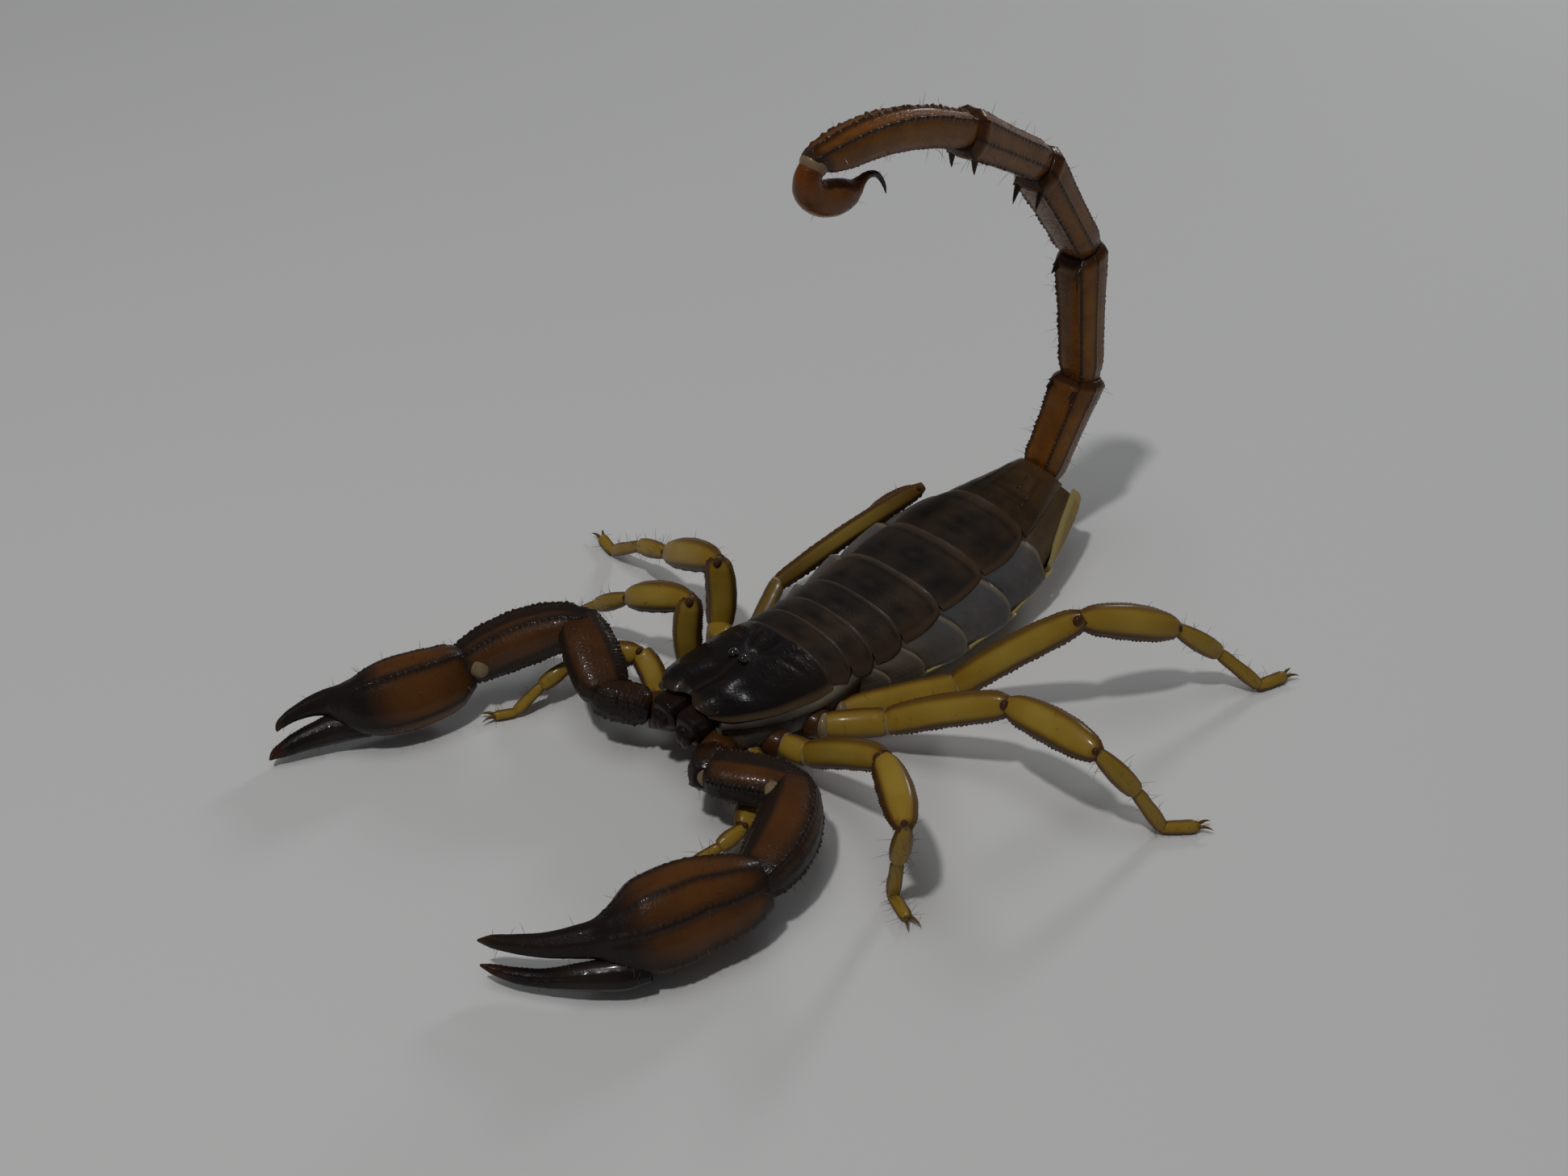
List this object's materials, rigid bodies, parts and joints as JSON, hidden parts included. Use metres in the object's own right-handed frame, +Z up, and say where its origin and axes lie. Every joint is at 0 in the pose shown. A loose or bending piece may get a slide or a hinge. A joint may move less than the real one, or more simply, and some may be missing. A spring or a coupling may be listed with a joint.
{
  "type": "flinders ranges scorpion",
  "caption": "Life-size still model of a desert burrowing scorpion in an alert pose: claws forward, legs spread, keeled tail arched over the back.",
  "frame": {"origin": "on the floor below the middle of the trunk, at the mount floor_datum", "axes": "+Z up from the floor, -Y toward the head, +X toward the animal's left side"},
  "size_m": [0.064, 0.0755, 0.05],
  "materials": {
    "shell": "near-black glossy head shield",
    "back_plates": "dark brown-grey back plates with paler rims",
    "membrane": "wet blue-grey side skin and belly",
    "amber_tail": "amber-brown tail with darker ridges",
    "red_brown": "red-brown sting bulb with a dark point",
    "ochre_legs": "ochre-yellow legs with darker joints",
    "orange_brown": "orange-brown claw arms with black ridges",
    "black_finger": "black finger with a dark red tip",
    "eye": "polished black eyes"
  },
  "bodies": {
    "root": {"belly": "membrane", "carapace": "shell", "chelicera_left": "shell", "chelicera_right": "shell", "eye_left": "eye", "eye_right": "eye", "leg_left_1_femur": "ochre_legs", "leg_left_1_foot": "ochre_legs", "leg_left_1_patella": "ochre_legs", "leg_left_2_femur": "ochre_legs", "leg_left_2_foot": "ochre_legs", "leg_left_2_patella": "ochre_legs", "leg_left_3_femur": "ochre_legs", "leg_left_3_foot": "ochre_legs", "leg_left_3_patella": "ochre_legs", "leg_left_4_femur": "ochre_legs", "leg_left_4_foot": "ochre_legs", "leg_left_4_patella": "ochre_legs", "leg_right_1_femur": "ochre_legs", "leg_right_1_foot": "ochre_legs", "leg_right_1_patella": "ochre_legs", "leg_right_2_femur": "ochre_legs", "leg_right_2_foot": "ochre_legs", "leg_right_2_patella": "ochre_legs", "leg_right_3_femur": "ochre_legs", "leg_right_3_foot": "ochre_legs", "leg_right_3_patella": "ochre_legs", "leg_right_4_femur": "ochre_legs", "leg_right_4_foot": "ochre_legs", "leg_right_4_patella": "ochre_legs", "metasoma_1": "amber_tail", "metasoma_2": "amber_tail", "metasoma_3": "amber_tail", "metasoma_4": "amber_tail", "metasoma_5": "amber_tail", "palp_left_femur": "orange_brown", "palp_left_finger": "black_finger", "palp_left_manus": "orange_brown", "palp_left_patella": "orange_brown", "palp_left_trochanter": "orange_brown", "palp_right_femur": "orange_brown", "palp_right_finger": "black_finger", "palp_right_manus": "orange_brown", "palp_right_patella": "orange_brown", "palp_right_trochanter": "orange_brown", "pecten_left": "ochre_legs", "pecten_right": "ochre_legs", "prosoma_underside": "orange_brown", "telson": "red_brown", "tergite_1": "back_plates", "tergite_2": "back_plates", "tergite_3": "back_plates", "tergite_4": "back_plates", "tergite_5": "back_plates", "tergite_6": "back_plates", "tergite_7": "back_plates"}
  },
  "joints": []
}
